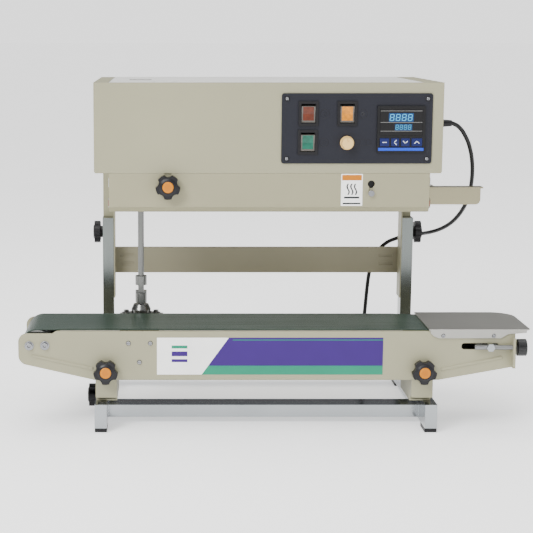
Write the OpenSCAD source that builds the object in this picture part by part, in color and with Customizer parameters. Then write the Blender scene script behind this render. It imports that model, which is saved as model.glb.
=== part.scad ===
// Vertical continuous band sealer: belt conveyor below, sealing head on two lift columns above.

/* [Overall] */
// Overall length of the conveyor and table
total_len = 840; // [836:2:844]
// Height of the head's top above the floor
head_top = 573; // [565:1:581]
// Distance from the conveyor front plate back to the rear ends of the base tubes
base_rear = 350; // [345:1:360]

/* [Conveyor] */
// Height of the belt's carrying face
belt_z = 171.5; // [171:0.1:172]
// Width of the belt
belt_w = 130; // [120:1:130]
// Belt thickness
belt_t = 1.8; // [1.5:0.1:2]
// Radius of the left end roller
roller_l_r = 25.2; // [24:0.1:25.2]
// Radius of the drive roller
roller_d_r = 30; // [28:0.1:30]
// Radius of the tension roller
roller_r_r = 20.2; // [19:0.1:20.2]

/* [Sealing] */
// Height where the two bags' mouths pass between the bands
seal_z = 375; // [374:1:376]
// Number of teeth on the band wheel gears
gear_teeth = 24; // [20:2:28]

/* [Knobs] */
// Outer radius of a star knob
knob_r = 20; // [18:0.5:20]
// Number of lobes on a star knob
knob_lobes = 5; // [5:1:7]

/* [Hidden] */
$fn = 48;
y0 = -(base_rear - 21.6) / 2;      // shift that centres the whole depth on Y = 0
hx = total_len / 2;
beige = [0.73, 0.72, 0.67];
sx = -221; sy = 168;             // drive shaft axis
yf = 49.2; yr = 94.8;            // front and rear band wheel axes
xl = -250; xr = 236;             // left and right band wheel axes

module P() translate([0, y0, 0]) children();
module ycyl(x, y, z, r, h, r2 = -1) translate([x, y, z]) rotate([-90, 0, 0]) cylinder(r1 = r, r2 = r2 < 0 ? r : r2, h = h);
module xcyl(x, y, z, r, h) translate([x, y, z]) rotate([0, 90, 0]) cylinder(r = r, h = h);
module zcyl(x, y, z, r, h) translate([x, y, z]) cylinder(r = r, h = h);
module bx(x0, x1, ya, yb, z0, z1) translate([x0, ya, z0]) cube([x1 - x0, yb - ya, z1 - z0]);
// outline in X and Z drawn at depth ya, thickness t
module xz(ya, t) translate([0, ya + t, 0]) rotate([90, 0, 0]) linear_extrude(t) children();
// outline in Y and Z drawn from x, length l
module yz(x, l) translate([x, 0, 0]) rotate([90, 0, 90]) linear_extrude(l) children();
function arc(cx, cy, r, a0, a1, n) = [for (i = [0 : n]) [cx + r * cos(a0 + (a1 - a0) * i / n), cy + r * sin(a0 + (a1 - a0) * i / n)]];

// ---------- base ----------
module tube(x0, x1, ya, yb, z0, z1, t, along) difference() {
  bx(x0, x1, ya, yb, z0, z1);
  if (along == "y") bx(x0 + t, x1 - t, ya + 3, yb - 3, z0 + t, z1 - t);
  if (along == "x") bx(x0 - 1, x1 + 1, ya + t, yb - t, z0 + t, z1 - t);
  if (along == "z") bx(x0 + t, x1 - t, ya + t, yb - t, z0 + 3, z1 - 3);
}
module base_frame() color([0.9, 0.9, 0.9]) P() {
  tube(-295, -275, -10, base_rear, 7, 47, 1.6, "y");
  tube(250, 270, -10, base_rear, 7, 47, 1.6, "y");
  for (y = [50, 308]) tube(-275, 250, y, y + 40, 10.5, 31.5, 1.6, "x");
}
module feet() color([0.12, 0.12, 0.12]) P() for (x = [-285, 260], y = [-8, 306])
  difference() { bx(x - 10, x + 10, y, y + 40, 0, 7); for (k = [8, 16, 24, 32]) bx(x - 11, x + 11, y + k - 0.8, y + k + 0.8, -1, 1); }
module posts() color([0.85, 0.86, 0.86]) P() {
  difference() { tube(-293, -273, 287, 317, 47, 319, 1.6, "z"); xcyl(-294, 302, 292, 4.05, 22); }
  difference() { tube(253, 273, 287, 317, 47, 319, 1.6, "z"); xcyl(252, 302, 292, 4.05, 22); }
}
module bracket(x0) difference() {
  union() {
    bx(x0, x0 + 35, 2.4, 4.8, 56, 101); bx(x0, x0 + 35, 2.4, 4.8, 101, 123);
    for (x = [x0, x0 + 32.5]) difference() { bx(x, x + 2.5, 4.8, 112, 47, 100); translate([x - 1, 4, 46]) cube([5, 16, 10]); translate([x - 1, 4.8, 96]) cube([5, 120, 10]); }
    bx(x0, x0 + 35, 20, 112, 47, 50);
  }
  bx(x0 + 13.1, x0 + 21.9, 1, 6, 88, 119.5);
}
module conveyor_brackets() color(beige) P() { bracket(-293.5); bracket(228.5); }

// ---------- knobs ----------
// lobed grip along +Z, base at z = 0
module star(r, h, caps) {
  difference() {
    union() {
      cylinder(r = r * 0.52, h = 4);
      translate([0, 0, 4]) linear_extrude(h - 4) difference() { circle(r = r); for (i = [0 : knob_lobes - 1]) rotate(90 + i * 360 / knob_lobes) translate([r * 1.22, 0]) circle(r = r * 0.42, $fn = 32); }
      translate([0, 0, h]) cylinder(r1 = r * 0.72, r2 = r * 0.55, h = 2);
    }
    if (caps) translate([0, 0, h - 1]) cylinder(r = 9.3, h = 4);
  }
  if (caps) translate([0, 0, h - 1]) { cylinder(r = 9, h = 3); translate([0, 0, 3]) cylinder(r1 = 9, r2 = 8, h = 0.6); }
}
// star knob facing -Y with a stud running back along +Y
module knob_y(x, y, z, r, h, stud, caps, sr = 4) { translate([x, y, z]) rotate([90, 0, 0]) star(r, h, caps); ycyl(x, y - 2, z, sr, stud + 2); }
module rail_knob() color("black") P() { translate([-295.3, 130, 29]) rotate([0, -90, 0]) star(knob_r, 16, false); }
module column_knob_left() color("black") P() { translate([-293.4, 302, 292]) rotate([0, -90, 0]) star(knob_r, 15, false); xcyl(-295, 302, 292, 4, 21.8); }
module column_knob_right() color("black") P() { translate([273.4, 302, 292]) rotate([0, 90, 0]) star(knob_r, 15, false); xcyl(253.2, 302, 292, 4, 21.8); }
module height_knob_left() color("black") P() { knob_y(-276, -3, 103, knob_r, 16, 12, true); }
module height_knob_right() color("black") P() { knob_y(246, -3, 103, knob_r, 16, 12, true); }
module guard_knob() color("black") P() { knob_y(-174, 11.5, 406, knob_r, 16, 12, true); }

// ---------- conveyor ----------
side_pts = concat([[-296, 87], [272, 87], [396, 109.5], [396, 168.8], [-358, 168.8], [-364, 165], [-406, 165]],
  arc(-406, 151, 14, 90, 180, 8), arc(-404, 128, 16, 180, 250, 8));
module side_shape() polygon(side_pts);
module tension_slot(y) { bx(313.2, 364.8, y, y + 4, 138.4, 148.8); for (x = [313.2, 364.8]) ycyl(x, y, 143.6, 5.2, 4); }
module side_plate_front() color(beige) P() difference() {
  union() {
    xz(0, 2) side_shape();
    bx(-357, 396, 0, 5.4, 167, 168.8);
    bx(390, 394, -16, 0, 110, 159);
    // pressed ribs with round backs
    for (k = [[-397, 127.8, -298, 106], [276.4, 104.7, 375, 125.4]]) translate([k[0], 0.2, k[1]]) rotate([0, -atan2(k[3] - k[1], k[2] - k[0]), 0]) xcyl(0, 0.4, 0, 2.8, norm([k[2] - k[0], k[3] - k[1]]));
  }
  ycyl(-276, -1, 103, 4.05, 4); ycyl(246, -1, 103, 4.05, 4);
  tension_slot(-1);
  xcyl(384, -8, 143.6, 4.05, 14);
}
module side_plate_rear() color(beige) P() difference() {
  xz(142, 2) side_shape();
  tension_slot(141);
  ycyl(sx, 141, 138, 9, 5);
}
// slide bed under the belt, slotted where the drive roller comes up through it
module conveyor_bed() color([0.75, 0.75, 0.74]) P() difference() {
  union() { bx(-352, 212, 5.4, 142, 166.2, 169.2); bx(-352, 212, 5.4, 7.9, 159.5, 166.2); bx(-352, 212, 139.5, 142, 159.5, 166.2); }
  bx(sx - 32, sx + 32, 5, 137.8, 150, 170);
}
module loop2(e) hull() {
  translate([-389, 144.5]) circle(r = roller_l_r + e);
  translate([sx, 138]) circle(r = roller_d_r + e);
  translate([354, 143.6]) circle(r = roller_r_r + e);
  translate([212, belt_z - belt_t - 6]) circle(r = 6 + e);
}
module conveyor_belt() color([0.1, 0.35, 0.22]) P() xz(6, belt_w + 1.5) difference() { loop2(belt_t); loop2(0); }
module infeed_table() color([0.72, 0.72, 0.71]) P() {
  translate([0, 0, belt_z - 1]) linear_extrude(2) polygon(concat([[254, -2.5], [hx - 6, -2.5]], arc(hx - 6, 3.5, 6, -90, 0, 4), arc(hx - 38, 106, 38, 0, 90, 10), [[254, 144]]));
  xz(-2.5, 2) polygon(concat([[260 + 10, belt_z - 14], [372, belt_z - 14], [384, belt_z - 7], [hx - 6, belt_z - 5], [hx - 6, belt_z - 1], [256, belt_z - 1]], [[257, belt_z - 6], [262, belt_z - 11]]));
}
module hexbolt(x, z, y = 0) { difference() { ycyl(x, y - 5, z, 5.2, 5); translate([x, y - 5.5, z]) rotate([-90, 0, 0]) cylinder(r = 2.9, h = 3.5, $fn = 6); } ycyl(x, y - 1, z, 7.6, 1); }
module screw_y(x, y, z, r) difference() { ycyl(x, y - 1.8, z, r * 0.75, 1.8, r); bx(x - r * 0.6, x + r * 0.6, y - 2, y - 1.1, z - 0.5, z + 0.5); bx(x - 0.5, x + 0.5, y - 2, y - 1.1, z - r * 0.6, z + r * 0.6); }
module conveyor_fasteners() color([0.8, 0.8, 0.8]) P() {
  hexbolt(-402, 144.6); hexbolt(-376.4, 144.9);
  for (p = [[-239, 148.6], [-203, 148.6], [sx, 116.8]]) screw_y(p[0], 0, p[1], 4.2);
  for (x = [277.4, 360.2]) screw_y(x, -2.5, 161.7, 3.6);
  for (x = [-276, 246]) difference() { ycyl(x, -2.6, 103, 11, 2.6); ycyl(x, -3, 103, 4.5, 4); }
}
module gear_bracket() color([0.6, 0.6, 0.58]) P() difference() {
  union() { bx(-259, -183, 144, 147, 104, 160); bx(-259, -183, 147, 204, 157, 160); for (x = [-259, -186]) yz(x, 3) polygon([[147, 110], [147, 157], [204, 157], [204, 148]]); }
  ycyl(sx, 143, 138, 14, 5); zcyl(sx, sy, 156, 11, 5);
}
module conveyor_bearings() color([0.55, 0.56, 0.57]) P() {
  for (y = [2.1, 138]) difference() { bx(-409, -369, y, y + 3.8, 133, 156); ycyl(-389, y - 1, 144.5, 5.05, 6); }
  difference() { ycyl(sx, 2.1, 138, 27, 3.2); ycyl(sx, 1, 138, 6.05, 6); }
  difference() { ycyl(sx, 138.2, 138, 20, 3.7); ycyl(sx, 137, 138, 6.05, 6); }
  // oval flange bearing for the drive shaft
  difference() {
    union() { translate([sx, sy, 160]) linear_extrude(8) union() { circle(r = 21); for (k = [-1, 1]) translate([k * 26, 0]) circle(r = 8); polygon([[-26, -8], [26, -8], [26, 8], [-26, 8]]); } zcyl(sx, sy, 168, 17, 6); translate([sx, sy, 174]) cylinder(r1 = 17, r2 = 13, h = 9); }
    zcyl(sx, sy, 150, 5.25, 40);
  }
  for (k = [-26, 26]) translate([sx + k, sy, 168]) cylinder(r = 4.5, h = 4, $fn = 6);
}
module left_roller() color([0.7, 0.7, 0.7]) P() { ycyl(-389, 7, 144.5, roller_l_r - 0.35, 130); ycyl(-389, 2.6, 144.5, 5, 139); }
module bevel(n, r) difference() { cylinder(r1 = r - 0.5, r2 = r - 6.5, h = 6); for (i = [0 : n - 1]) rotate([0, 0, i * 360 / n]) translate([r - 0.5, 0, 0]) rotate([0, -45, 0]) translate([-1.2, -0.8, -1]) cube([2.4, 1.6, 12]); }
module drive_roller() color([0.25, 0.25, 0.26]) P() { ycyl(sx, 7, 138, roller_d_r - 0.35, 130); ycyl(sx, 2.6, 138, 6, 157); ycyl(sx, 148.5, 138, 9, 6); translate([sx, 154.3, 138]) rotate([-90, 0, 0]) bevel(18, 14); }
module tension_axle() color([0.8, 0.8, 0.8]) P() {
  difference() { union() { ycyl(354, -11.5, 143.6, 5, 160); translate([354, -13.5, 143.6]) rotate([-90, 0, 0]) cylinder(r = 7, h = 13, $fn = 6); } xcyl(340, -8, 143.6, 4.3, 30); }
}
module tension_roller() color([0.7, 0.7, 0.7]) P() difference() { ycyl(354, 8, 143.6, roller_r_r - 0.35, 128); ycyl(354, 7, 143.6, 5.05, 130); }
module tension_knob_front() color("black") P() { xcyl(328, -8, 143.6, 4, 70.5); translate([397.5, -8, 143.6]) rotate([0, 90, 0]) difference() { cylinder(r = 14, h = 14); for (i = [0 : 17]) rotate(i * 20) translate([14.4, 0, -1]) cylinder(r = 1, h = 16, $fn = 16); } }
module drive_line() color([0.75, 0.75, 0.76]) P() {
  translate([sx, sy, 152]) mirror([0, 0, 1]) bevel(18, 14);
  zcyl(sx, sy, 152, 9, 4.5);
  zcyl(sx, sy, 150, 5.2, 40);
  difference() {
    union() { zcyl(sx, sy, 186, 10, 47); }
    for (a = [0, 90]) translate([sx, sy, a == 0 ? 203 : 207]) rotate([0, 0, a]) for (k = [-1, 1]) translate([-12, k * 8 - 3, 0]) cube([24, 6, 10]);
  }
  zcyl(sx, sy, 232, 5.2, 336);
}

// ---------- head ----------
module head_plate() color([0.62, 0.61, 0.56]) P() difference() {
  union() {
    bx(-290, 266, 17, 308, 427, 431);
    bx(-190, -158, 17.4, 20.4, 388, 427); bx(142, 170, 17.4, 20.4, 385, 427);
  }
  ycyl(-174, 16, 406, 4.05, 6); ycyl(156, 16, 409.6, 7, 6);
  for (x = [xl, xr], y = [yf, yr]) zcyl(x, y, 426, 8, 6);
  for (y = [55.6, 88.4]) zcyl(-120, y, 426, 4.05, 6);
  zcyl(sx, sy, 426, 20, 6);
}
module head_cover() color(beige) P() difference() {
  union() {
    difference() { bx(-294, 270, 15, 310, 427, head_top); bx(-292.5, 268.5, 16.5, 308.5, 426, head_top - 1.5); }
  }
  bx(-270, 238.5, 18, 307, head_top - 5, head_top + 1);
  bx(16, 246, 14, 17, 449, 550);
  for (s = [[-294, 1], [270, -1]]) translate([s[0], 0, 427]) rotate([0, 45, 0]) translate([-1.5, 10, -1.5]) cube([3, 310, 3]);
  xcyl(267, 80, 504, 8, 5);
}
module head_lid() color([0.84, 0.84, 0.83]) P() difference() {
  union() { bx(-269.2, 237.7, 18.8, 306.2, head_top - 1.5, head_top); bx(-269.2, 237.7, 18.8, 20.2, head_top - 12, head_top - 1.5); }
  bx(-240, -202, 141, 195, head_top - 2, head_top + 1);
  for (x = [-197, -163]) zcyl(x, 52, head_top - 2, 4.1, 4);
}
module lift_columns() color(beige) P() {
  bx(-272.7, -270.7, 284.5, 319.5, 172, 427); bx(-293, -272.7, 317.4, 319.5, 189, 427);
  bx(250.7, 252.7, 284.5, 319.5, 172, 427); bx(252.7, 273, 317.4, 319.5, 189, 427);
}
module rear_panel() color([0.6, 0.59, 0.53]) P() difference() {
  union() { bx(-277, 257, 319.5, 321.5, 213, 260); bx(-277, 257, 321.5, 330, 258, 260); bx(-277, 257, 321.5, 330, 213, 215); }
  for (x = [-262, 217], z = [228, 243]) bx(x, x + 25, 319, 320.3, z, z + 5);
}
module control_panel() color([0.2, 0.2, 0.23]) P() difference() {
  xz(13, 2) polygon(concat(arc(13, 447, 4, 180, 270, 4), arc(248, 447, 4, 270, 360, 4), arc(248, 552, 4, 0, 90, 4), arc(13, 552, 4, 90, 180, 4)));
  for (s = [[52, 523.5], [114.5, 523.5], [51.5, 477.5]]) bx(s[0] - 13.5, s[0] + 13.5, 12, 16, s[1] - 17.5, s[1] + 17.5);
  bx(166, 237, 12, 16, 464, 533);
  ycyl(114.6, 12, 476.6, 3.05, 4);
}
module head_fasteners() color([0.85, 0.85, 0.85]) P() {
  for (x = [17.5, 244], z = [451, 547.5]) screw_y(x, 13, z, 3.4);
  for (x = [-197, -163]) zcyl(x, 52, head_top - 1.5, 4, 1.5);
  difference() { ycyl(-174, 12, 406, 11, 2.8); ycyl(-174, 11, 406, 4.5, 5); }
  // keyhole screw: shank through the guard's slot, head in front of it
  ycyl(156, 12.3, 394.6, 2.6, 5.1); ycyl(156, 10.3, 394.6, 5, 2.2, 5);
}
module frame1(x, z) difference() { union() { bx(x - 16, x + 16, 10.8, 13, z - 19.8, z + 19.8); bx(x - 13.2, x + 13.2, 13, 36, z - 17.2, z + 17.2); } bx(x - 11.6, x + 11.6, 10, 31, z - 15.5, z + 15.5); }
module switch_frames() color([0.13, 0.13, 0.14]) P() { frame1(52, 523.5); frame1(114.5, 523.5); frame1(51.5, 477.5); }
module rocker(x, z) { xcyl(x - 11.5, 20, z, 1.5, 23); translate([0, 20, z]) yz(x - 11.2, 22.4) rotate(8) polygon([[6, -13.2], [6, 13.2], [-9.5, 13.2], [-7.6, 0], [-9.5, -13.2]]); }
module rocker_red() color([0.8, 0.2, 0.1]) P() rocker(52, 523.5);
module rocker_orange() color([0.9, 0.45, 0.05]) P() rocker(114.5, 523.5);
module rocker_green() color([0.05, 0.5, 0.35]) P() rocker(51.5, 477.5);
module speed_knob() color([0.85, 0.82, 0.72]) P() { translate([114.6, 12.7, 476.6]) rotate([90, 0, 0]) difference() { union() { cylinder(r = 11, h = 5); translate([0, 0, 5]) cylinder(r1 = 10, r2 = 9, h = 10); } for (i = [0 : 15]) rotate(i * 22.5) translate([10.6, 0, 5.5]) cylinder(r = 1, h = 11, $fn = 12); translate([-0.6, 3, 14.4]) cube([1.2, 6, 2]); } ycyl(114.6, 11, 476.6, 3, 14); }
kx = [[167.5, 182.5], [185.5, 198.5], [201.5, 215.5], [218.5, 235.5]];
module controller_case() color([0.1, 0.1, 0.12]) P() difference() {
  union() { bx(163, 240, 9.8, 13, 461, 536); bx(166.4, 236.6, 13, 90, 464.4, 532.6); }
  bx(167, 236, 9, 10.4, 488, 531);
  for (k = kx) bx(k[0] - 0.3, k[1] + 0.3, 9, 12.6, 470.7, 484.3);
}
module key(i) P() bx(kx[i][0], kx[i][1], 9.1, 10.9, 471, 484);
module key_1() color("blue") key(0);
module key_2() color("blue") key(1);
module key_3() color("blue") key(2);
module key_4() color("blue") key(3);
module infeed_guide() color([0.6, 0.6, 0.58]) P() {
  xz(75, 2) polygon(concat([[254, 369]], arc(339, 377, 8, -90, 0, 6), [[347, 400], [254, 400]]));
  bx(254, 347, 56, 77, 398, 400); bx(263, 269, 77, 120, 398, 400); bx(263, 269, 118, 120, 400, 427);
}
module hang(x, y) zcyl(x, y, 386, 4, 41);
module heating_blocks() color([0.72, 0.55, 0.25]) P() { for (y = [54, 73.3]) bx(80, 190, y, y + 16.7, 366, 386); for (x = [100, 170], y = [60, 82]) hang(x, y); }
module cooling_blocks() color([0.8, 0.81, 0.82]) P() { for (y = [54, 73.3]) difference() { bx(-60, 50, y, y + 16.7, 366, 386); for (k = [0 : 9]) bx(-55 + k * 10, -50 + k * 10, y < 60 ? y - 1 : y + 10, y < 60 ? y + 7 : y + 18, 365, 387); } for (x = [-40, 30]) { hang(x, 65); hang(x, 78); } }
module band(y) translate([0, 0, seal_z - 4.5]) linear_extrude(9) difference() { st(y, 22.7); st(y, 21.9); }
module st(y, r) { translate([xl, y]) circle(r = r); translate([xr, y]) circle(r = r); translate([xl, y - r]) square([xr - xl, 2 * r]); }
module seal_bands() color([0.5, 0.2, 0.12]) P() { band(yf); band(yr); }
module wheel_bearings() color([0.8, 0.8, 0.81]) P() for (x = [xl, xr], y = [yf, yr]) difference() { union() { zcyl(x, y, 401, 22, 15); zcyl(x, y, 416, 17, 11); } zcyl(x, y, 400, 6.05, 30); }
module gear(z, ph) translate([0, 0, z]) rotate(ph) linear_extrude(10) union() { circle(r = 20.2); for (i = [0 : gear_teeth - 1]) rotate(i * 360 / gear_teeth) polygon([[19.5, -1.45], [22.8, -1.0], [24.0, -0.55], [24.0, 0.55], [22.8, 1.0], [19.5, 1.45]]); }
module wheel(x, y, top) { zcyl(x, y, 370.2, 21.6, 9.8); zcyl(x, y, 367.5, 22.3, 2.7); zcyl(x, y, 380, 22.3, 2.7); zcyl(x, y, 366, 6, top - 366); }
module wheel_rear_left() color([0.8, 0.8, 0.8]) P() { wheel(xl, yr, 470); translate([xl, yr, 0]) gear(436, 0); zcyl(xl, yr, 450, 11, 5); }
module wheel_front_left() color([0.8, 0.8, 0.8]) P() { wheel(xl, yf, 447); translate([xl, yf, 0]) gear(436, 180 / gear_teeth); }
module wheel_rear_right() color([0.8, 0.8, 0.8]) P() wheel(xr, yr, 434);
module wheel_front_right() color([0.8, 0.8, 0.8]) P() wheel(xr, yf, 434);
module press(y) { zcyl(-120, y, 368, 15, 14); zcyl(-120, y, 366, 4, 74); }
module press_wheel_front() color([0.2, 0.2, 0.2]) P() press(55.6);
module press_wheel_rear() color([0.2, 0.2, 0.2]) P() press(88.4);
module shaft_hub() color([0.7, 0.6, 0.3]) P() difference() { union() { zcyl(sx, sy, 422, 10, 50); zcyl(sx, sy, 450, 11, 5); } zcyl(sx, sy, 420, 5.28, 60); }
ca = atan2(sy - yr, sx - xl); cl = norm([sx - xl, sy - yr]);
module drive_chain() color([0.3, 0.3, 0.3]) P() translate([xl, yr, 450.3]) rotate(ca) linear_extrude(4.4) difference() { union() { circle(r = 14.5); translate([cl, 0]) circle(r = 14.5); translate([0, -14.5]) square([cl, 29]); } circle(r = 11.5); translate([cl, 0]) circle(r = 11.5); translate([0, -11.5]) square([cl, 23]); }
module gearmotor() color([0.35, 0.36, 0.38]) P() {
  difference() { union() { bx(-287, -213, 56, 134, 460, 464); bx(-285, -215, 60, 130, 464, 512); } zcyl(xl, yr, 459, 6.3, 13); }
  for (x = [-283, -216.5], y = [62, 124]) zcyl(x, y, 431, 4, 29);
  xcyl(-215, 95, 490, 32, 120); xcyl(-95, 95, 490, 28, 8);
}
module cord_gland() color([0.1, 0.1, 0.1]) P() difference() { union() { xcyl(266, 80, 504, 7.8, 6); xcyl(270, 80, 504, 10, 4); translate([274, 80, 504]) rotate([0, 90, 0]) cylinder(r1 = 6.8, r2 = 5.1, h = 22); } xcyl(260, 80, 504, 3.6, 40); }

// ---------- guard ----------
module guard() color([0.7, 0.69, 0.62]) P() difference() {
  union() { bx(-270, 251, 15, 17, 372, 426.8); yz(-270, 521) polygon([[15, 372], [17, 372], [24.2, 364.8], [22.8, 363.4]]); }
  bx(-179.5, -168.5, 14, 18, 402, 428); ycyl(-174, 14, 402, 5.5, 4);
  ycyl(156, 14, 409.6, 5.7, 4); bx(153, 159, 14, 18, 394.6, 409.6); ycyl(156, 14, 394.6, 3, 4);
}

// ---------- cord ----------
// route of the free cord: leaves the gland, bows out and falls behind the right post, runs down behind the rear panel to the coil
cord_r = 3.5;
route = [[290, 80, 504], [297, 80, 504], [304, 82, 501], [312, 86, 495], [320, 91, 485], [330, 101, 468], [338, 113, 446], [343, 126, 422], [345, 140, 398], [345, 158, 374], [342, 178, 353], [337, 200, 335], [330, 225, 319], [322, 250, 307],
  [314, 275, 298], [306, 300, 291], [299, 322, 286], [286, 336, 282], [268, 341, 279], [252, 341, 274], [235, 344, 266], [220, 347, 251], [210, 349, 232], [204, 351, 208], [201, 353, 180], [199, 355, 150], [197, 357, 120], [194, 359, 90], [190, 361, 62], [182, 363, 38], [168, 366, 20], [150, 369, 9], [132, 371, 5], [114, 373, 3.8], [98, 373.5, 3.6], [84, 373.5, 3.6]];
function unit(v) = v / norm(v);
function tang(i) = unit(route[min(i + 1, len(route) - 1)] - route[max(i - 1, 0)]);
function side(t) = unit(cross(t, abs(t[2]) > 0.9 ? [1, 0, 0] : [0, 0, 1]));
ns = 8; nr = len(route);
ring0 = [for (i = [0 : nr - 1]) let (t = tang(i), a = side([t[0], t[1], 0] + [0.0001, 0, 0]), b = cross(t, a)) for (k = [0 : ns - 1]) route[i] + cord_r * (a * cos(k * 360 / ns) + unit(b) * sin(k * 360 / ns))];
module power_cord() color([0.08, 0.08, 0.08]) P() polyhedron(points = ring0, faces = concat([[for (k = [0 : ns - 1]) k]], [[for (k = [ns - 1 : -1 : 0]) (nr - 1) * ns + k]],
  [for (i = [0 : nr - 2], k = [0 : ns - 1]) [i * ns + k, (i + 1) * ns + k, (i + 1) * ns + (k + 1) % ns]], [for (i = [0 : nr - 2], k = [0 : ns - 1]) [i * ns + k, (i + 1) * ns + (k + 1) % ns, i * ns + (k + 1) % ns]]));
module cord_coil() color([0.08, 0.08, 0.08]) P() translate([64, 414.9, 0]) rotate_extrude() translate([23.4, 0]) square([21.6, 14.4]);
module plug() color([0.08, 0.08, 0.08]) P() { translate([91, 449.1, 9.2]) rotate([0, 90, 0]) { cylinder(r1 = 4.4, r2 = 8.5, h = 14); translate([0, 0, 14]) cylinder(r = 9.2, h = 18); } for (y = [444.6, 453.6]) xcyl(121, y, 9.2, 2.2, 22); }

base_frame();
feet();
posts();
conveyor_brackets();
rail_knob();
column_knob_left();
column_knob_right();
side_plate_front();
side_plate_rear();
conveyor_bed();
conveyor_belt();
infeed_table();
conveyor_fasteners();
gear_bracket();
conveyor_bearings();
height_knob_left();
height_knob_right();
left_roller();
drive_roller();
tension_axle();
tension_roller();
tension_knob_front();
drive_line();
head_plate();
head_cover();
head_lid();
lift_columns();
rear_panel();
control_panel();
head_fasteners();
switch_frames();
controller_case();
infeed_guide();
heating_blocks();
cooling_blocks();
seal_bands();
wheel_bearings();
gearmotor();
drive_chain();
cord_gland();
guard();
guard_knob();
rocker_red();
rocker_orange();
rocker_green();
speed_knob();
key_1();
key_2();
key_3();
key_4();
wheel_rear_left();
wheel_rear_right();
wheel_front_left();
wheel_front_right();
press_wheel_front();
press_wheel_rear();
shaft_hub();
power_cord();
cord_coil();
plug();
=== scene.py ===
import bpy, bmesh, math, random
from mathutils import Vector, Matrix


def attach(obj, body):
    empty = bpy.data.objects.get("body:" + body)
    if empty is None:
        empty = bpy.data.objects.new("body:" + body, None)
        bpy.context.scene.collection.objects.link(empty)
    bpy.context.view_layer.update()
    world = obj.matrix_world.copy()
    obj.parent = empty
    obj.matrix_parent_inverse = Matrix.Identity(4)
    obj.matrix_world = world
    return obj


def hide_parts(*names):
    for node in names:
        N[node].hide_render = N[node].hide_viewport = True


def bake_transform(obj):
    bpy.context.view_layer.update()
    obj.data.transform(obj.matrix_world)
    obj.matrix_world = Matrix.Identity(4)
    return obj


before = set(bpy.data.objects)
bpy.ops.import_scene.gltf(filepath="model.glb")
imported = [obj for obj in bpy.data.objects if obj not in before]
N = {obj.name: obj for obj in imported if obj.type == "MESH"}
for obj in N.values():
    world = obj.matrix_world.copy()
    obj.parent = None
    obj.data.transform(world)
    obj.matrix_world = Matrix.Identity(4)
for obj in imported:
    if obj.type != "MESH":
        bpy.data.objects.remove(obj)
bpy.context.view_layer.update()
random.seed(7)
YS = -0.1642                      # design depth 0 lies here in the row frame


def D(x, y, z):
    """A point in millimetres, depth counted from the conveyor's front plate, as a row-frame point."""
    return Vector((x / 1000, y / 1000 + YS, z / 1000))


def lin(r, g, b):
    f = lambda c: (c / 255 / 12.92) if c / 255 <= 0.04045 else ((c / 255 + 0.055) / 1.055) ** 2.4
    return (f(r), f(g), f(b), 1.0)


# ---------------------------------------------------------------- camera, light, floor
cam_data = bpy.data.cameras.new("camera")
cam_data.lens = 96.3
cam_data.sensor_width = 36
cam_data.shift_x = 0.185
cam_data.clip_end = 200
cam = bpy.data.objects.new("camera", cam_data)
bpy.context.scene.collection.objects.link(cam)
cam.location = D(-174.1, -2290, 651.4)
cam.rotation_euler = (math.radians(80.7), 0, 0)
bpy.context.scene.camera = cam


def area(name, loc, target, size, energy, color=(1, 1, 1)):
    d = bpy.data.lights.new(name, "AREA")
    d.shape = "RECTANGLE"; d.size, d.size_y = size
    d.energy = energy; d.color = color
    o = bpy.data.objects.new(name, d)
    bpy.context.scene.collection.objects.link(o)
    o.location = loc
    o.rotation_euler = (Vector(target) - Vector(loc)).to_track_quat("-Z", "Y").to_euler()
    return o


area("key", (-1.5, -2.0, 1.8), (0, 0, 0.3), (0.9, 0.9), 60)
area("fill", (1.9, -2.1, 1.0), (0, 0, 0.3), (1.1, 1.3), 14)
area("top", (0.1, 0.3, 2.8), (0, 0, 0.4), (2.0, 1.4), 36)
sun_data = bpy.data.lights.new("sky_soft", "SUN")
sun_data.energy = 1.5; sun_data.angle = math.radians(30)
sun = bpy.data.objects.new("sky_soft", sun_data)
bpy.context.scene.collection.objects.link(sun)
sun.rotation_euler = (math.radians(28), math.radians(-16), 0)
world = bpy.data.worlds.new("studio")
bpy.context.scene.world = world
world.use_nodes = True
wn = world.node_tree.nodes; wl = world.node_tree.links
bg = wn["Background"]
tc = wn.new("ShaderNodeTexCoord"); sep = wn.new("ShaderNodeSeparateXYZ"); rp = wn.new("ShaderNodeValToRGB")
wl.new(tc.outputs["Generated"], sep.inputs[0]); wl.new(sep.outputs["Z"], rp.inputs[0])
# bright at the horizon, a darker band above it for the metal to mirror, bright overhead
rp.color_ramp.elements[0].position = 0.05; rp.color_ramp.elements[0].color = (1, 1, 1, 1)
rp.color_ramp.elements[1].position = 0.70; rp.color_ramp.elements[1].color = (0.6, 0.6, 0.6, 1)
for pos, g in ((0.10, 0.08), (0.40, 0.11)):
    e = rp.color_ramp.elements.new(pos); e.color = (g, g, g * 1.03, 1)
wl.new(rp.outputs[0], bg.inputs["Color"])
bg.inputs["Strength"].default_value = 1.8


# ---------------------------------------------------------------- materials
def mat(name):
    m = bpy.data.materials.new(name)
    m.use_nodes = True
    return m, m.node_tree.nodes, m.node_tree.links, m.node_tree.nodes["Principled BSDF"]


def coords(n, l, scale=(1, 1, 1)):
    t = n.new("ShaderNodeTexCoord"); mp = n.new("ShaderNodeMapping")
    mp.inputs["Scale"].default_value = scale
    l.new(t.outputs["Object"], mp.inputs["Vector"])
    return mp.outputs["Vector"]


def noise(n, l, vec, scale, detail=3.0, rough=0.55):
    t = n.new("ShaderNodeTexNoise")
    t.inputs["Scale"].default_value = scale
    t.inputs["Detail"].default_value = detail
    t.inputs["Roughness"].default_value = rough
    l.new(vec, t.inputs["Vector"])
    return t.outputs["Fac"]


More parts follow.
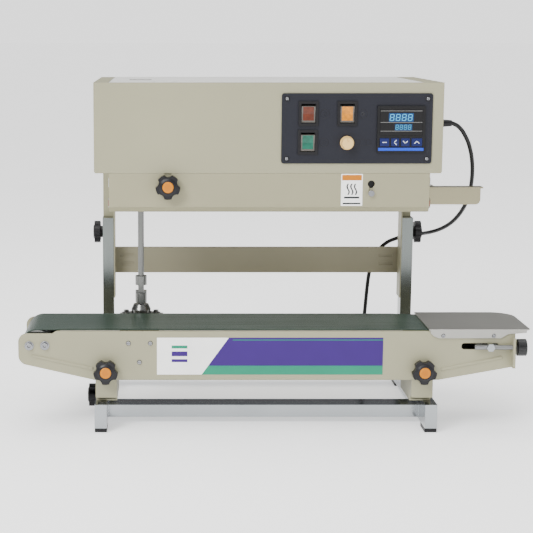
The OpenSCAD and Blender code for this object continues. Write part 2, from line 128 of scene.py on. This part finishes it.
def ramp(n, l, fac, a, b, p0=0.3, p1=0.7):
    r = n.new("ShaderNodeValToRGB")
    r.color_ramp.elements[0].position = p0; r.color_ramp.elements[0].color = a
    r.color_ramp.elements[1].position = p1; r.color_ramp.elements[1].color = b
    l.new(fac, r.inputs["Fac"])
    return r.outputs["Color"]


def mixc(n, l, fac, a, b):
    m = n.new("ShaderNodeMix"); m.data_type = "RGBA"
    for s, v in ((m.inputs["Factor"], fac), (m.inputs["A"], a), (m.inputs["B"], b)):
        if hasattr(v, "is_linked"): l.new(v, s)
        else: s.default_value = v
    return m.outputs["Result"]


def math_(n, l, op, a, b=None, clamp=False):
    m = n.new("ShaderNodeMath"); m.operation = op; m.use_clamp = clamp
    for i, v in enumerate((a, b)):
        if v is None: continue
        if hasattr(v, "is_linked"): l.new(v, m.inputs[i])
        else: m.inputs[i].default_value = v
    return m.outputs[0]


def scaled(c, k): return (min(c[0] * k, 1), min(c[1] * k, 1), min(c[2] * k, 1), 1)


def bump(n, l, b, height, strength, dist, edge=0.0):
    bp = n.new("ShaderNodeBump")
    bp.inputs["Strength"].default_value = strength
    bp.inputs["Distance"].default_value = dist
    l.new(height, bp.inputs["Height"])
    if edge:
        bv = n.new("ShaderNodeBevel"); bv.samples = 4
        bv.inputs["Radius"].default_value = edge
        l.new(bv.outputs["Normal"], bp.inputs["Normal"])
    l.new(bp.outputs["Normal"], b.inputs["Normal"])


def paint(name, col, rough=0.42, peel=0.10, edge=0.0012, dirt=0.06, spec=0.4):
    """Powder coat: faint orange peel, slow tone drift, slight dulling patches."""
    m, n, l, b = mat(name)
    v = coords(n, l)
    slow = noise(n, l, v, 4.0, 4.0); fine = noise(n, l, v, 900.0, 2.0)
    c = ramp(n, l, slow, scaled(col, 1 - dirt), scaled(col, 1 + dirt * 0.6))
    l.new(c, b.inputs["Base Color"])
    r = n.new("ShaderNodeMapRange"); r.inputs["To Min"].default_value = rough - 0.06; r.inputs["To Max"].default_value = rough + 0.08
    l.new(noise(n, l, v, 30.0), r.inputs["Value"]); l.new(r.outputs[0], b.inputs["Roughness"])
    b.inputs["Specular IOR Level"].default_value = spec
    bump(n, l, b, fine, peel, 0.0004, edge)
    return m


def metal(name, col, rough=0.2, brush=None, amount=0.05, edge=0.0008, vary=0.06):
    m, n, l, b = mat(name)
    v = coords(n, l, brush or (1, 1, 1))
    f = noise(n, l, v, 600.0 if brush else 60.0, 4.0)
    l.new(ramp(n, l, noise(n, l, coords(n, l), 7.0), scaled(col, 1 - vary), scaled(col, 1 + vary)), b.inputs["Base Color"])
    b.inputs["Metallic"].default_value = 1.0
    r = n.new("ShaderNodeMapRange"); r.inputs["To Min"].default_value = max(rough - amount, 0.02); r.inputs["To Max"].default_value = rough + amount
    l.new(f, r.inputs["Value"]); l.new(r.outputs[0], b.inputs["Roughness"])
    bump(n, l, b, f, 0.06 if brush else 0.03, 0.0003, edge)
    return m


def plastic(name, col, rough=0.45, grain=0.12, edge=0.0010, scale=1400.0):
    m, n, l, b = mat(name)
    b.inputs["Specular IOR Level"].default_value = 0.3
    v = coords(n, l)
    l.new(ramp(n, l, noise(n, l, v, 12.0), scaled(col, 0.88), scaled(col, 1.15)), b.inputs["Base Color"])
    r = n.new("ShaderNodeMapRange"); r.inputs["To Min"].default_value = rough - 0.05; r.inputs["To Max"].default_value = rough + 0.08
    l.new(noise(n, l, v, 60.0), r.inputs["Value"]); l.new(r.outputs[0], b.inputs["Roughness"])
    bump(n, l, b, noise(n, l, v, scale, 2.0), grain, 0.0003, edge)
    return m


def star_knob(name, x, z, y_front):
    """Black grip with an orange cap where the surface lies within 9.1 mm of the axis and in front of y_front."""
    m, n, l, b = mat(name)
    v = coords(n, l)
    s = n.new("ShaderNodeSeparateXYZ"); l.new(v, s.inputs[0])
    dx = math_(n, l, "SUBTRACT", s.outputs["X"], x / 1000); dz = math_(n, l, "SUBTRACT", s.outputs["Z"], z / 1000)
    rr = math_(n, l, "SQRT", math_(n, l, "ADD", math_(n, l, "MULTIPLY", dx, dx), math_(n, l, "MULTIPLY", dz, dz)))
    k = math_(n, l, "MULTIPLY", math_(n, l, "LESS_THAN", rr, 0.00915), math_(n, l, "LESS_THAN", s.outputs["Y"], y_front / 1000 + YS))
    ora = ramp(n, l, rr, lin(184, 108, 0), lin(194, 118, 0), 0.0058, 0.0064)
    blk = ramp(n, l, noise(n, l, v, 40.0), lin(12, 12, 14), lin(24, 23, 27))
    l.new(mixc(n, l, k, blk, ora), b.inputs["Base Color"])
    b.inputs["Roughness"].default_value = 0.38
    b.inputs["Specular IOR Level"].default_value = 0.3
    bump(n, l, b, noise(n, l, v, 1200.0, 2.0), 0.10, 0.0003, 0.0014)
    return m


BEIGE = lin(150, 147, 121)
M = {
    "beige": paint("beige_paint", BEIGE),
    "guard": paint("guard_paint", lin(147, 143, 116)),
    # lid: the head's beige paint drawn much lighter and cooler, a painted highlight for light falling on its top from
    # above plus a painted bluish-white reflection
    "lid": paint("lid_painted_light", lin(226, 226, 222), rough=0.3),
    "rear": paint("rear_paint", lin(146, 141, 118), dirt=0.1),
    "panel": paint("panel_paint", lin(27, 28, 36), rough=0.5, peel=0.35, edge=0.0016, spec=0.25),
    "chrome": metal("chrome", lin(158, 162, 165), 0.16, amount=0.04),
    "post": metal("post_chrome", lin(112, 117, 115), 0.2, brush=(1, 1, 0.02)),
    "bright": metal("bright_fastener", lin(140, 141, 144), 0.24),
    "sheet": metal("brushed_sheet", lin(170, 169, 163), 0.42, brush=(0.02, 1, 1)),
    "guide": metal("guide_sheet", lin(158, 152, 126), 0.34, brush=(0.02, 1, 1)),
    "machined": metal("machined_steel", lin(112, 113, 111), 0.28, brush=(1, 1, 0.03)),
    "alu": metal("cooler_alu", lin(200, 202, 206), 0.35),
    "brass": metal("heater_brass", lin(196, 164, 96), 0.32),
    "black": plastic("black_plastic", lin(16, 15, 18), 0.42),
    "case": plastic("case_plastic", lin(12, 12, 14), 0.35),
    "rubber": plastic("roller_rubber", lin(40, 40, 40), 0.7, 0.3),
    "motor": paint("motor_paint", lin(88, 92, 96), rough=0.5),
    "cream": plastic("cream_plastic", lin(222, 186, 118), 0.35),
    "key": plastic("key_blue", lin(8, 22, 78), 0.4),
    "cord": plastic("cord_pvc", lin(12, 12, 13), 0.42, 0.15, edge=0, scale=500.0),
}


def belt_material():
    """PVC belt: fine cross weave, long scuff streaks, random darker green patches."""
    m, n, l, b = mat("belt_pvc")
    v = coords(n, l); streak = noise(n, l, coords(n, l, (0.03, 1, 1)), 160.0, 4.0)
    patch = noise(n, l, v, 6.0, 3.0)
    c = ramp(n, l, streak, lin(26, 44, 34), lin(70, 86, 76), 0.3, 0.72)
    c2 = mixc(n, l, ramp(n, l, patch, (0, 0, 0, 1), (0.6, 0.6, 0.6, 1)), c, lin(14, 42, 27))
    l.new(c2, b.inputs["Base Color"])
    b.inputs["Roughness"].default_value = 0.32
    b.inputs["Specular IOR Level"].default_value = 0.4
    w1 = n.new("ShaderNodeTexWave"); w1.bands_direction = "X"; w1.inputs["Scale"].default_value = 300.0; l.new(v, w1.inputs["Vector"])
    w2 = n.new("ShaderNodeTexWave"); w2.bands_direction = "Y"; w2.inputs["Scale"].default_value = 300.0; l.new(v, w2.inputs["Vector"])
    bump(n, l, b, math_(n, l, "MAXIMUM", w1.outputs["Fac"], w2.outputs["Fac"]), 0.25, 0.0003)
    return m


def band_material():
    m, n, l, b = mat("band_ptfe")
    v = coords(n, l)
    l.new(ramp(n, l, noise(n, l, v, 50.0), lin(110, 50, 32), lin(142, 70, 44)), b.inputs["Base Color"])
    b.inputs["Roughness"].default_value = 0.45
    c = n.new("ShaderNodeTexChecker"); c.inputs["Scale"].default_value = 1800.0; l.new(v, c.inputs["Vector"])
    bump(n, l, b, c.outputs["Fac"], 0.2, 0.0002)
    return m


def lens(name, a, glow, x, z):
    """Lit rocker: clear shell over a coloured body, with a brighter middle."""
    m, n, l, b = mat(name)
    v = coords(n, l)
    s = n.new("ShaderNodeSeparateXYZ"); l.new(v, s.inputs[0])
    dx = math_(n, l, "ABSOLUTE", math_(n, l, "SUBTRACT", s.outputs["X"], x / 1000)); dz = math_(n, l, "ABSOLUTE", math_(n, l, "SUBTRACT", s.outputs["Z"], z / 1000))
    inner = math_(n, l, "MULTIPLY", math_(n, l, "LESS_THAN", dx, 0.0088), math_(n, l, "LESS_THAN", dz, 0.0112))
    body = ramp(n, l, noise(n, l, v, 160.0), scaled(a, 0.7), scaled(a, 1.25))
    l.new(mixc(n, l, inner, lin(84, 80, 75), body), b.inputs["Base Color"])
    l.new(mixc(n, l, inner, (0, 0, 0, 1), body), b.inputs["Emission Color"])
    b.inputs["Emission Strength"].default_value = glow
    b.inputs["Roughness"].default_value = 0.2
    b.inputs["Coat Weight"].default_value = 0.15
    b.inputs["Specular IOR Level"].default_value = 0.3
    bump(n, l, b, noise(n, l, v, 240.0), 0.15, 0.0004, 0.0009)
    return m


use = {
    "beige": "conveyor_brackets side_plate_front side_plate_rear head_plate head_cover lift_columns",
    "guard": "guard", "lid": "head_lid", "rear": "rear_panel", "panel": "control_panel",
    "chrome": "base_frame tension_axle wheel_bearings", "post": "posts", "bright": "conveyor_fasteners head_fasteners",
    "sheet": "infeed_table conveyor_bed gear_bracket", "guide": "infeed_guide",
    "machined": "conveyor_bearings left_roller tension_roller drive_line wheel_rear_left wheel_rear_right wheel_front_left wheel_front_right drive_chain shaft_hub",
    "alu": "cooling_blocks", "brass": "heating_blocks", "black": "feet rail_knob column_knob_left column_knob_right tension_knob_front switch_frames cord_gland",
    "case": "controller_case", "rubber": "drive_roller press_wheel_front press_wheel_rear", "motor": "gearmotor", "cream": "speed_knob",
    "key": "key_1 key_2 key_3 key_4", "cord": "power_cord cord_coil plug",
}
put = {n: M[k] for k, names in use.items() for n in names.split()}
put["conveyor_belt"] = belt_material()
put["seal_bands"] = band_material()
put["height_knob_left"] = star_knob("knob_height_left", -276, 103, -17.9)
put["height_knob_right"] = star_knob("knob_height_right", 246, 103, -17.9)
put["guard_knob"] = star_knob("knob_guard", -174, 406, -3.4)
put["rocker_red"] = lens("lens_red", lin(86, 32, 8), 0.0, 52, 523.5)
put["rocker_orange"] = lens("lens_orange", lin(192, 118, 0), 0.12, 114.5, 523.5)
put["rocker_green"] = lens("lens_green", lin(4, 84, 66), 0.12, 51.5, 477.5)


# tension knob: the threaded rod left of the grip is bright steel
def rod_knob():
    m, n, l, b = mat("tension_knob")
    v = coords(n, l); s = n.new("ShaderNodeSeparateXYZ"); l.new(v, s.inputs[0])
    k = math_(n, l, "LESS_THAN", s.outputs["X"], 0.3972)
    l.new(mixc(n, l, k, lin(14, 14, 16), lin(165, 166, 168)), b.inputs["Base Color"]); l.new(k, b.inputs["Metallic"])
    b.inputs["Roughness"].default_value = 0.32
    w = n.new("ShaderNodeTexWave"); w.bands_direction = "X"; w.inputs["Scale"].default_value = 256.0; l.new(v, w.inputs["Vector"])
    bump(n, l, b, math_(n, l, "MULTIPLY", w.outputs["Fac"], k), 0.9, 0.0006)
    return m


put["tension_knob_front"] = rod_knob()
for name, o in N.items():
    if o.type != "MESH": continue
    o.data.materials.clear()
    o.data.materials.append(put[name])


# ---------------------------------------------------------------- mesh helpers
def link(name, me, material, body):
    o = bpy.data.objects.new(name, me)
    bpy.context.scene.collection.objects.link(o)
    if material: me.materials.append(material)
    if body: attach(o, body)
    return o


def plate(name, outline, y_front, t, material, body, bevel=0.2, holes=()):
    """A thin piece with this outline in X and Z (mm), its face at depth y_front, its edges rounded."""
    bm = bmesh.new()
    vs = [bm.verts.new(D(x, y_front, z)) for x, z in outline]
    f = bm.faces.new(vs)
    r = bmesh.ops.extrude_face_region(bm, geom=[f])
    bmesh.ops.translate(bm, verts=[v for v in r["geom"] if isinstance(v, bmesh.types.BMVert)], vec=(0, t / 1000, 0))
    bmesh.ops.recalc_face_normals(bm, faces=bm.faces)
    if bevel:
        es = [e for e in bm.edges if all(abs(v.co.y - D(0, y_front, 0).y) < 1e-7 for v in e.verts)]
        bmesh.ops.bevel(bm, geom=es, offset=bevel / 1000, segments=2, profile=0.6, affect="EDGES", clamp_overlap=True)
    me = bpy.data.meshes.new(name); bm.to_mesh(me); bm.free()
    return link(name, me, material, body)


def rrect(x0, x1, z0, z1, r, k=5):
    p = []
    for cx, cz, a in ((x1 - r, z1 - r, 0), (x0 + r, z1 - r, 90), (x0 + r, z0 + r, 180), (x1 - r, z0 + r, 270)):
        p += [(cx + r * math.cos(math.radians(a + 90 * i / k)), cz + r * math.sin(math.radians(a + 90 * i / k))) for i in range(k + 1)]
    return p


def join(name, objs):
    """Joins piece meshes that were made without a body."""
    bm = bmesh.new()
    mats = []
    for o in objs:
        base = len(bm.faces)
        bm.from_mesh(o.data)
        bm.faces.ensure_lookup_table()
        for mt in o.data.materials:
            if mt not in mats: mats.append(mt)
        for f in bm.faces[base:]: f.material_index = mats.index(o.data.materials[0])
        me = o.data; bpy.data.objects.remove(o); bpy.data.meshes.remove(me)
    me = bpy.data.meshes.new(name); bm.to_mesh(me); bm.free()
    for mt in mats: me.materials.append(mt)
    return me


def sweep(name, pts, r, material, sides=12, cap=True):
    """A round tube along points in the row frame, in metres."""
    bm = bmesh.new(); rings = []; up = Vector((0, 0, 1)); a = None
    for i, p in enumerate(pts):
        t = (pts[min(i + 1, len(pts) - 1)] - pts[max(i - 1, 0)]).normalized()
        if a is None: a = t.cross(up if abs(t.z) < 0.9 else Vector((1, 0, 0))).normalized()
        a = (a - t * a.dot(t)).normalized(); c = t.cross(a)
        rad = r(i) if callable(r) else r
        rings.append([bm.verts.new(p + rad * (a * math.cos(2 * math.pi * k / sides) + c * math.sin(2 * math.pi * k / sides))) for k in range(sides)])
    for q, w in zip(rings, rings[1:]):
        for k in range(sides):
            bm.faces.new((q[k], q[(k + 1) % sides], w[(k + 1) % sides], w[k]))
    if cap:
        bm.faces.new(list(reversed(rings[0]))); bm.faces.new(rings[-1])
    bmesh.ops.recalc_face_normals(bm, faces=bm.faces)
    me = bpy.data.meshes.new(name); bm.to_mesh(me); bm.free()
    for p in me.polygons: p.use_smooth = len(p.vertices) == 4
    me.materials.append(material)
    o = bpy.data.objects.new(name, me); bpy.context.scene.collection.objects.link(o)
    return o


def catmull(P, step=0.004):
    out = []
    for i in range(len(P) - 1):
        p0, p1, p2, p3 = P[max(i - 1, 0)], P[i], P[i + 1], P[min(i + 2, len(P) - 1)]
        k = max(1, int((p2 - p1).length / step))
        for j in range(k):
            t = j / k
            out.append(0.5 * ((2 * p1) + (p2 - p0) * t + (2 * p0 - 5 * p1 + 4 * p2 - p3) * t * t + (3 * p1 - p0 - 3 * p2 + p3) * t ** 3))
    out.append(P[-1])
    return out


# ---------------------------------------------------------------- cord, as routed in the design
route = [[290, 80, 504], [297, 80, 504], [304, 82, 501], [312, 86, 495], [320, 91, 485], [330, 101, 468], [338, 113, 446], [343, 126, 422], [345, 140, 398], [345, 158, 374], [342, 178, 353], [337, 200, 335], [330, 225, 319], [322, 250, 307],
  [314, 275, 298], [306, 300, 291], [299, 322, 286], [286, 336, 282], [268, 341, 279], [252, 341, 274], [235, 344, 266], [220, 347, 251], [210, 349, 232], [204, 351, 208], [201, 353, 180], [199, 355, 150], [197, 357, 120], [194, 359, 90], [190, 361, 62], [182, 363, 38], [168, 366, 20], [150, 369, 9], [132, 371, 5], [114, 373, 3.8], [98, 373.5, 3.6], [84, 373.5, 3.6]]
CX, CY = 64.0, 414.9
pts = [D(*p) for p in route]
# four and a half turns wound inwards on the floor, then outwards on top of them
turns = [(41.4, 3.55), (34.2, 3.55), (27.0, 3.55), (27.0, 10.7), (34.2, 10.8)]
S = 48
coil = []
for i in range(int(4.5 * S) + 1):
    u = i / S
    k = min(int(u), 4); f = u - k
    r0, z0 = turns[k]; r1, z1 = turns[min(k + 1, 4)]
    e = 0 if f < 0.8 else (f - 0.8) / 0.2
    e = e * e * (3 - 2 * e)
    a = math.radians(-90) - 2 * math.pi * u
    coil.append(D(CX + (r0 + (r1 - r0) * e) * math.cos(a), CY + (r0 + (r1 - r0) * e) * math.sin(a), z0 + (z1 - z0) * e))
tail = [D(70, CY + 34.2, 10.7), D(78, CY + 34.2, 10.3), D(86, CY + 34.2, 9.6), D(93, CY + 34.2, 9.2)]
line = catmull(pts) + coil + tail
cord = sweep("mains_cord", line, 0.0035, M["cord"], 12)
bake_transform(cord)
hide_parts("power_cord", "cord_coil")

# tie round the coil
tie_pts = []
for i in range(25):
    a = 2 * math.pi * i / 24
    # an oval round the winding's section, at the coil's right side
    rr, zz = 34.2 + 11.3 * math.cos(a), 7.4 + 7.4 * math.sin(a)
    tie_pts.append((rr, max(zz, 0.4)))
bm = bmesh.new(); ringA = []; ringB = []
for rr, zz in tie_pts[:-1]:
    ringA.append(bm.verts.new(D(CX + rr, CY - 2.6, zz))); ringB.append(bm.verts.new(D(CX + rr, CY + 2.6, zz)))
for i in range(24):
    j = (i + 1) % 24
    bm.faces.new((ringA[i], ringA[j], ringB[j], ringB[i]))
bmesh.ops.solidify(bm, geom=bm.faces[:], thickness=-0.0005)
bmesh.ops.recalc_face_normals(bm, faces=bm.faces)
me = bpy.data.meshes.new("cord_tie"); bm.to_mesh(me); bm.free()
tie = link("cord_tie", me, M["black"], "base")

# a copy of the belt's mesh baked in place of the original belt, which is hidden
belt_mesh = N["conveyor_belt"].data.copy()
belt_mesh.name = "stretch_belt"
belt = bpy.data.objects.new("stretch_belt", belt_mesh)
bpy.context.scene.collection.objects.link(belt)
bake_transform(belt)
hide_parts("conveyor_belt")

# ---------------------------------------------------------------- stickers
def flat(name, col, rough=0.3):
    m, n, l, b = mat(name)
    v = coords(n, l)
    l.new(ramp(n, l, noise(n, l, v, 25.0), scaled(col, 0.95), scaled(col, 1.03)), b.inputs["Base Color"])
    b.inputs["Roughness"].default_value = rough
    b.inputs["Specular IOR Level"].default_value = 0.3
    bump(n, l, b, noise(n, l, v, 500.0), 0.04, 0.0002)
    return m


white, purple, teal = flat("label_white", lin(250, 250, 248)), flat("label_purple", lin(50, 14, 104)), flat("label_teal", lin(6, 128, 98))
orange = flat("sticker_orange", lin(184, 108, 0)); ink = flat("sticker_ink", lin(30, 30, 32))
me = join("front_label", [
    plate("a", [(-192, 96), (-118.5, 96), (-74, 158), (-192, 158)], -0.32, 0.3, white, None, 0.1),
    plate("b", [(-108, 111), (179.5, 111), (179.5, 158), (-74, 158)], -0.32, 0.3, purple, None, 0.1),
    plate("c", [(-118.5, 96), (179.5, 96), (179.5, 110.9), (-107.9, 110.9)], -0.32, 0.3, teal, None, 0.1),
    plate("d", [(-68, 153.6), (179.5, 153.6), (179.5, 154.8), (-67.2, 154.8)], -0.40, 0.1, teal, None, 0),
    # a plain geometric device: three stacked bars of equal length
    plate("e", [(-168, 140), (-142, 140), (-142, 145), (-168, 145)], -0.40, 0.1, teal, None, 0),
    plate("f", [(-168, 127), (-142, 127), (-142, 135), (-168, 135)], -0.40, 0.1, purple, None, 0),
    plate("g", [(-168, 117), (-142, 117), (-142, 122), (-168, 122)], -0.40, 0.1, purple, None, 0),
])
o = link("front_label", me, None, "conveyor")

parts = [plate("a", rrect(107, 142, 374, 426, 1), 14.72, 0.26, white, None, 0.1),
         plate("b", rrect(108.5, 140.5, 415.5, 424.5, 0.8), 14.64, 0.1, orange, None, 0),
         plate("c", rrect(110, 139, 376.5, 379, 0.4), 14.64, 0.1, ink, None, 0),
         plate("d", rrect(112, 137, 386, 389, 0.4), 14.64, 0.1, ink, None, 0)]
for k in (-6, 0, 6):           # three rising heat waves
    up = [(124.5 + k + 1.7 * math.sin(t * 2 * math.pi / 12), 392 + t * 18 / 12) for t in range(13)]
    parts.append(plate("w", [(x - 1.2, z) for x, z in up] + [(x + 1.2, z) for x, z in reversed(up)], 14.64, 0.1, ink, None, 0))
me = join("guard_sticker", parts)
link("guard_sticker", me, None, "guard_body")
# dark plate on the head behind the keyhole: painted shade standing in for the dark inside of the head
plate("keyhole_painted_shade", rrect(147, 165, 400.5, 418.5, 8.9, 8), 20.6, 0.8, M["black"], "head", 0.1)

# ---------------------------------------------------------------- control panel details
def glow(name, col, k):
    m, n, l, b = mat(name)
    b.inputs["Base Color"].default_value = col
    b.inputs["Emission Color"].default_value = col
    b.inputs["Emission Strength"].default_value = k
    b.inputs["Roughness"].default_value = 0.4
    return m


cyan, cyan2 = glow("digit_cyan", lin(60, 160, 205), 0.3), glow("digit_blue", lin(52, 140, 170), 0.22)
seg_off = flat("digit_window", lin(14, 52, 96), 0.25)
screen = flat("screen_black", lin(10, 9, 11), 0.16)
SEG = {"0": "abcdef", "1": "bc", "2": "abged", "5": "afgcd", "8": "abcdefg"}


def digit(x, z, w, h, ch, y, material):
    t = w * 0.17; out = []
    q = {"a": (x + t, x + w - t, z + h - t, z + h), "d": (x + t, x + w - t, z, z + t), "g": (x + t, x + w - t, z + h / 2 - t / 2, z + h / 2 + t / 2),
         "f": (x, x + t, z + h / 2 + t * .3, z + h - t * .6), "b": (x + w - t, x + w, z + h / 2 + t * .3, z + h - t * .6),
         "e": (x, x + t, z + t * .6, z + h / 2 - t * .3), "c": (x + w - t, x + w, z + t * .6, z + h / 2 - t * .3)}
    for s in SEG[ch]:
        a, b, c, d = q[s]
        sl = lambda zz: (zz - z) * 0.08
        out.append(plate("s", [(a + sl(c), c), (b + sl(c), c), (b + sl(d), d), (a + sl(d), d)], y, 0.2, material, None, 0))
    return out


pieces = [plate("w", rrect(167.4, 235.6, 488.4, 530.6, 0.5), 10.0, 0.4, screen, None, 0.1),
          plate("w", rrect(181, 221, 510.5, 524.5, 0.5), 9.85, 0.2, seg_off, None, 0),
          plate("w", rrect(191, 219, 496.5, 507, 0.5), 9.85, 0.2, seg_off, None, 0)]
for i, ch in enumerate("8888"): pieces += digit(182.4 + i * 9.7, 512, 7.0, 11, ch, 9.7, cyan)
for i, ch in enumerate("8888"): pieces += digit(192.0 + i * 6.7, 497.8, 4.8, 8, ch, 9.7, cyan2)
grey = flat("bezel_line", lin(120, 120, 118), 0.3)
for z in (509.2, 495.2, 527.6): pieces.append(plate("l", [(168, z), (235, z), (235, z + 0.7), (168, z + 0.7)], 9.8, 0.2, grey, None, 0))
me = join("controller_display", pieces)
link("controller_display", me, None, "head")
strip = plate("controller_strip", rrect(165, 238, 464, 468.5, 0.6), 9.6, 0.25, flat("strip_blue", lin(8, 66, 200)), "head", 0.05)

mark = flat("mark_white", lin(214, 218, 226), 0.3)
def stroke(P, w, y, material):
    out = []
    for (x0, z0), (x1, z1) in zip(P, P[1:]):
        d = Vector((x1 - x0, z1 - z0)).normalized() * w / 2; q = Vector((-d.y, d.x)); d = d * 0.9
        out.append(plate("k", [(x0 - d.x + q.x, z0 - d.y + q.y), (x0 - d.x - q.x, z0 - d.y - q.y), (x1 + d.x - q.x, z1 + d.y - q.y), (x1 + d.x + q.x, z1 + d.y + q.y)], y, 0.12, material, None, 0))
    return out


for i, P in enumerate(([(172, 477.5), (178, 477.5)], [(194, 481), (190.5, 477.5), (194, 474)], [(205, 479.5), (208.5, 476), (212, 479.5)], [(223.5, 476), (227, 479.5), (230.5, 476)])):
    me = join(f"key_mark_{i + 1}", stroke(P, 1.1, 9.0, mark))
    link(f"key_mark_{i + 1}", me, None, f"key_{i + 1}_body")


# raised legends beside the switches, a border bead and washers under the panel screws
def ring(cx, cz, r, w, y, t, material, k=40):
    bm = bmesh.new(); rows = []
    for rad, yy in ((r - w / 2, y + t), (r - w * 0.2, y), (r + w * 0.2, y), (r + w / 2, y + t)):
        rows.append([bm.verts.new(D(cx + rad * math.cos(2 * math.pi * i / k), yy, cz + rad * math.sin(2 * math.pi * i / k))) for i in range(k)])
    rows.append(rows[0])
    for a, b in zip(rows, rows[1:]):
        for i in range(k): bm.faces.new((a[i], a[(i + 1) % k], b[(i + 1) % k], b[i]))
    bmesh.ops.recalc_face_normals(bm, faces=bm.faces)
    me = bpy.data.meshes.new("ring"); bm.to_mesh(me); bm.free(); me.materials.append(material)
    o = bpy.data.objects.new("ring", me); bpy.context.scene.collection.objects.link(o)
    return o


dark = flat("legend_dark", lin(26, 26, 31), 0.35)
legend = [ring(x, z, 7.0, 1.0, 12.75, 0.3, dark) for x, z in ((78.6, 523.2), (140.1, 523.2), (77.8, 476.9))]
legend += [ring(78.6, 523.2, 2.6, 0.8, 12.75, 0.3, dark), ring(140.1, 523.2, 2.2, 1.6, 12.75, 0.3, dark), ring(131.5, 476.9, 4.4, 0.8, 12.75, 0.3, dark), ring(149.5, 476.9, 4.4, 0.8, 12.75, 0.3, dark)]
for a in range(4):
    c, s = math.cos(math.radians(a * 90 + 45)), math.sin(math.radians(a * 90 + 45))
    legend += stroke([(77.8 + c * 1.2, 476.9 + s * 1.2), (77.8 + c * 4.6, 476.9 + s * 4.6)], 0.9, 12.8, dark)
legend += stroke([(131.5, 481.3), (149.5, 481.3)], 0.6, 12.8, dark) + stroke([(131.5, 472.5), (149.5, 472.5)], 0.6, 12.8, dark)
for x0, z0, x1, z1 in ((15, 448.5, 246, 448.5), (15, 550.5, 246, 550.5), (15, 448.5, 15, 550.5), (246, 448.5, 246, 550.5)):
    legend += stroke([(x0, z0), (x1, z1)], 0.8, 12.85, dark)
legend += [ring(x, z, 4.6, 1.4, 12.6, 0.45, dark) for x in (17.5, 244) for z in (451, 547.5)]
me = join("panel_legends", legend)
link("panel_legends", me, None, "head")

# ---------------------------------------------------------------- floor
bm = bmesh.new()
bmesh.ops.create_grid(bm, x_segments=1, y_segments=1, size=90)
me = bpy.data.meshes.new("floor"); bm.to_mesh(me); bm.free()
m, n, l, b = mat("floor_white")
b.inputs["Base Color"].default_value = (0.93, 0.93, 0.93, 1); b.inputs["Roughness"].default_value = 0.6
l.new(ramp(n, l, noise(n, l, coords(n, l), 2.0), (0.92, 0.92, 0.92, 1), (0.95, 0.95, 0.95, 1)), b.inputs["Base Color"])
b.inputs["Emission Color"].default_value = (1, 1, 1, 1); b.inputs["Emission Strength"].default_value = 0.7
me.materials.append(m)
floor = bpy.data.objects.new("floor", me); bpy.context.scene.collection.objects.link(floor)
floor.location.z = -0.0005
